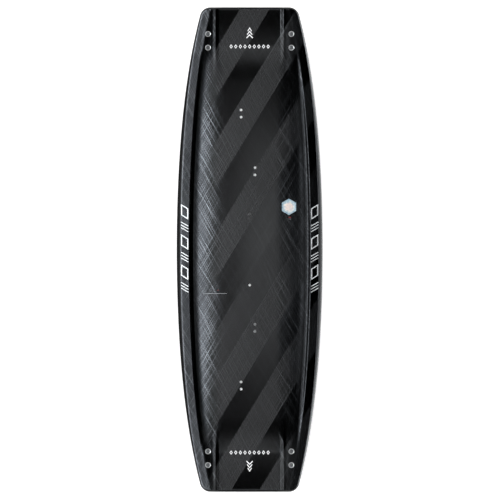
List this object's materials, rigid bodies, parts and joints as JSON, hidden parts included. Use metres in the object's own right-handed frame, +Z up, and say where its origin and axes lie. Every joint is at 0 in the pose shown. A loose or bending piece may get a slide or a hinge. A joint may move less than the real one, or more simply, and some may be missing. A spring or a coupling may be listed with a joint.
{
  "type": "kiteboard",
  "caption": "Carbon twin-tip kiteboard with rocker, ridged rails, sunk tip channels, screwed fins and threaded inserts for foot pads and a grab handle.",
  "frame": {"origin": "on the floor under the middle of the board, which stands on its four fin tips", "axes": "+Z up out of the deck, +Y along the board to its front tip, +X to the right of a person facing +Y on the deck"},
  "size_m": [0.41, 1.36, 0.0678],
  "materials": {
    "deck_carbon": "carbon laminate under clear resin, gloss and matte stripes",
    "base_carbon": "carbon laminate under clear resin",
    "core_wood": "bare light wood strips",
    "rail_plastic": "sanded and polished black plastic",
    "block_plastic": "moulded",
    "fin_glass_laminate": "machined laminate, satin",
    "sleeve_brass": "turned",
    "screw_steel": "stainless",
    "washer_steel": "polished stainless",
    "insert_steel": "turned stainless",
    "badge_foil": "pale iridescent foil"
  },
  "bodies": {
    "root": {"base_laminate": "base_carbon", "deck_laminate": "deck_carbon", "fin_block_front_left": "block_plastic", "fin_block_front_right": "block_plastic", "fin_block_rear_left": "block_plastic", "fin_block_rear_right": "block_plastic", "fin_front_left": "fin_glass_laminate", "fin_front_right": "fin_glass_laminate", "fin_rear_left": "fin_glass_laminate", "fin_rear_right": "fin_glass_laminate", "fin_screw_front_left_inner": "screw_steel", "fin_screw_front_left_outer": "screw_steel", "fin_screw_front_right_inner": "screw_steel", "fin_screw_front_right_outer": "screw_steel", "fin_screw_rear_left_inner": "screw_steel", "fin_screw_rear_left_outer": "screw_steel", "fin_screw_rear_right_inner": "screw_steel", "fin_screw_rear_right_outer": "screw_steel", "fin_sleeve_front_left_inner": "sleeve_brass", "fin_sleeve_front_left_outer": "sleeve_brass", "fin_sleeve_front_right_inner": "sleeve_brass", "fin_sleeve_front_right_outer": "sleeve_brass", "fin_sleeve_rear_left_inner": "sleeve_brass", "fin_sleeve_rear_left_outer": "sleeve_brass", "fin_sleeve_rear_right_inner": "sleeve_brass", "fin_sleeve_rear_right_outer": "sleeve_brass", "fin_washer_front_left_inner": "washer_steel", "fin_washer_front_left_outer": "washer_steel", "fin_washer_front_right_inner": "washer_steel", "fin_washer_front_right_outer": "washer_steel", "fin_washer_rear_left_inner": "washer_steel", "fin_washer_rear_left_outer": "washer_steel", "fin_washer_rear_right_inner": "washer_steel", "fin_washer_rear_right_outer": "washer_steel", "handle_block_front": "block_plastic", "handle_block_rear": "block_plastic", "handle_insert_front": "insert_steel", "handle_insert_rear": "insert_steel", "hex_badge": "badge_foil", "insert_block_front_inner": "block_plastic", "insert_block_front_outer": "block_plastic", "insert_block_rear_inner": "block_plastic", "insert_block_rear_outer": "block_plastic", "pad_insert_front_inner_a": "insert_steel", "pad_insert_front_inner_b": "insert_steel", "pad_insert_front_outer_a": "insert_steel", "pad_insert_front_outer_b": "insert_steel", "pad_insert_rear_inner_a": "insert_steel", "pad_insert_rear_inner_b": "insert_steel", "pad_insert_rear_outer_a": "insert_steel", "pad_insert_rear_outer_b": "insert_steel", "rail_left": "rail_plastic", "rail_right": "rail_plastic", "tip_rail_front": "rail_plastic", "tip_rail_rear": "rail_plastic", "wood_core": "core_wood"}
  },
  "joints": []
}
